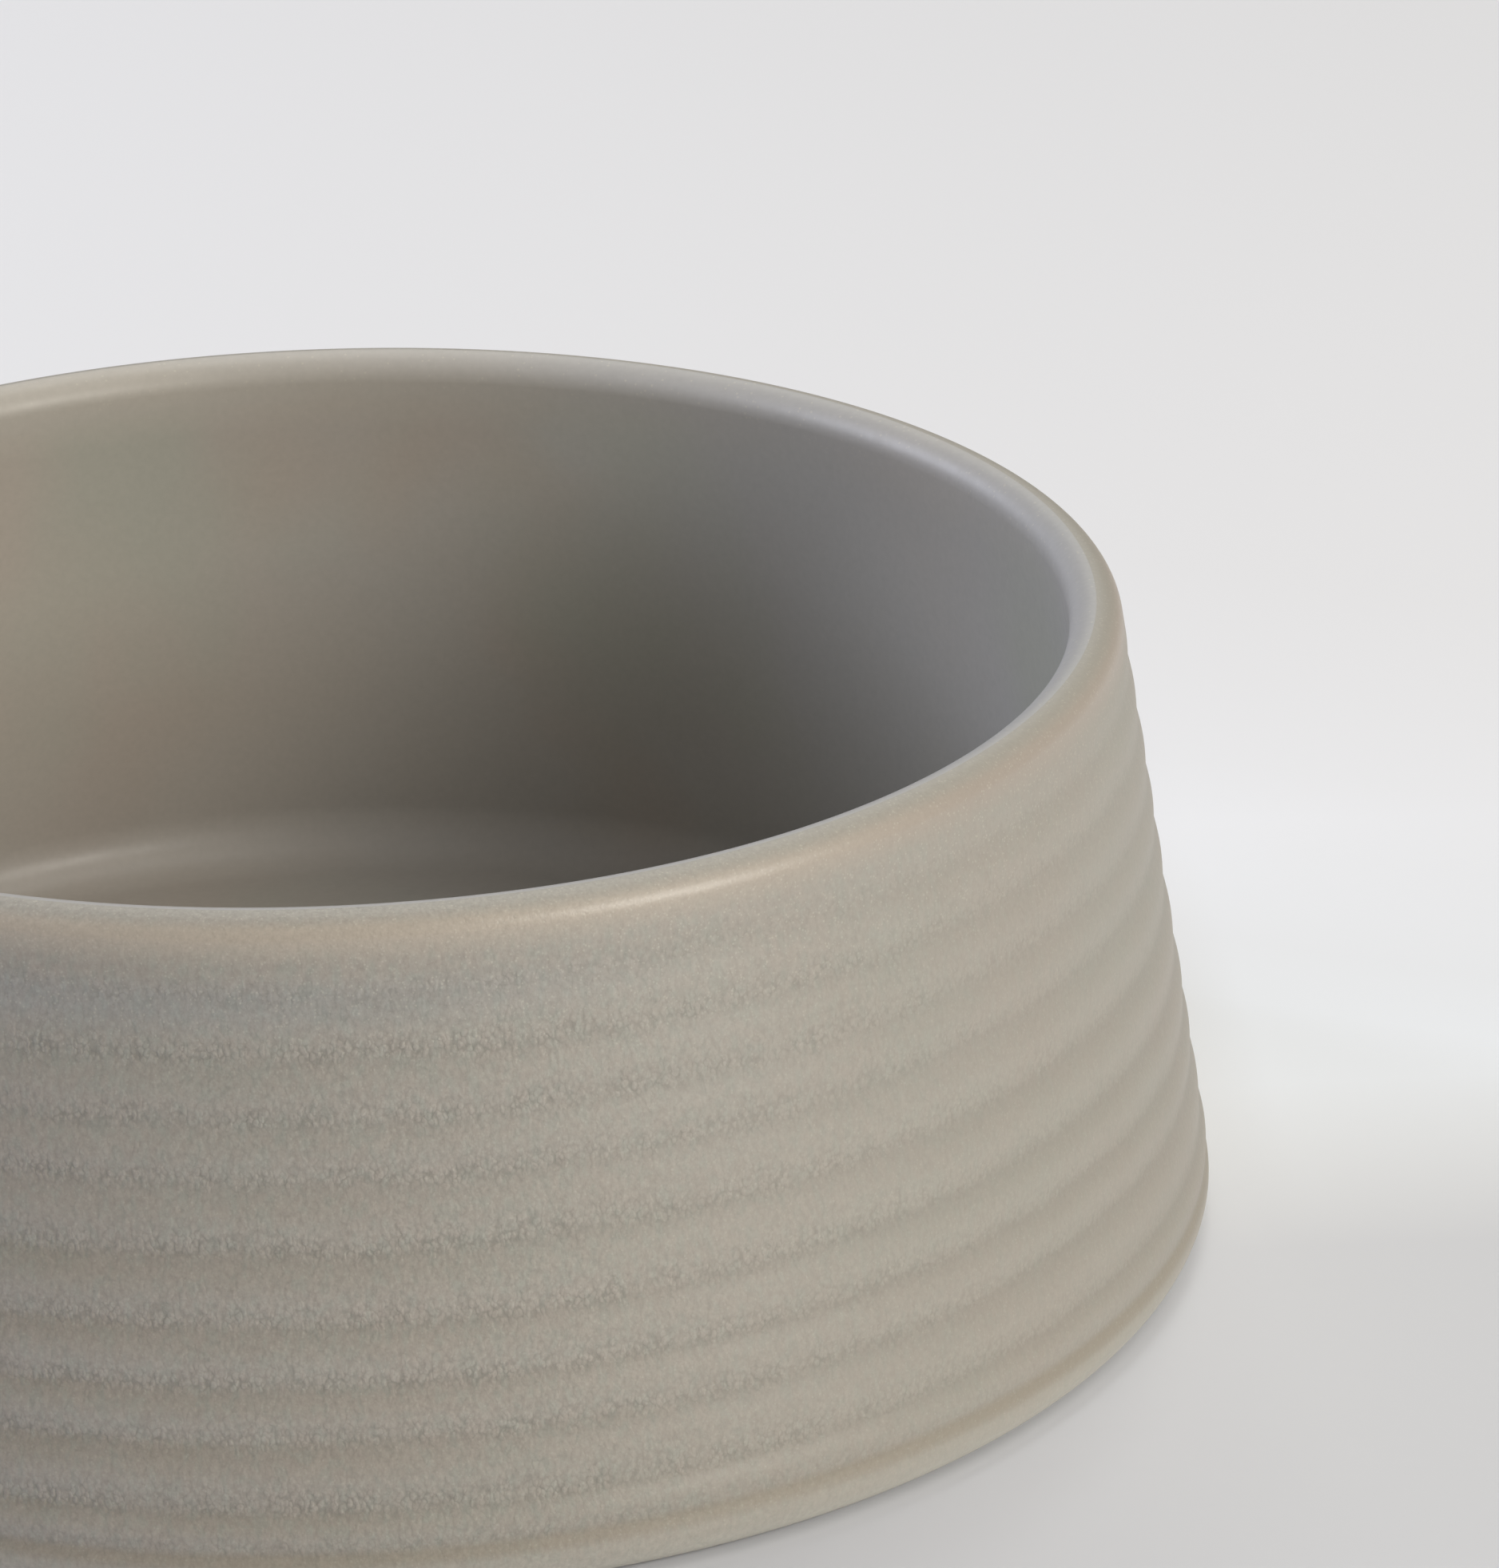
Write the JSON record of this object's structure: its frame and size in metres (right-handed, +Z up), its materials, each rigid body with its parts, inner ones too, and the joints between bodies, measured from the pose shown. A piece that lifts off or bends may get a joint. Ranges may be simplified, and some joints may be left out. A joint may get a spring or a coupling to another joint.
{
  "type": "ribbed stoneware bowl",
  "caption": "Low round stoneware bowl whose ribbed, glazed wall leans in from a wide heel to a full-round rim, on a bare foot ring.",
  "frame": {"origin": "centre of the foot ring, on the surface that the bowl stands on", "axes": "+Z up along the bowl's axis; the bowl is round, so X and Y are free"},
  "size_m": [0.18, 0.18, 0.0669],
  "materials": {
    "fired_clay": "matt, bare fired stoneware",
    "outer_glaze": "satin matt, curdled between the ribs",
    "inner_glaze": "satin, smooth",
    "base_glaze": "satin matt"
  },
  "bodies": {
    "root": {"stoneware_body": "fired_clay", "outer_glaze": "outer_glaze", "inner_glaze": "inner_glaze", "base_glaze": "base_glaze"}
  },
  "joints": []
}
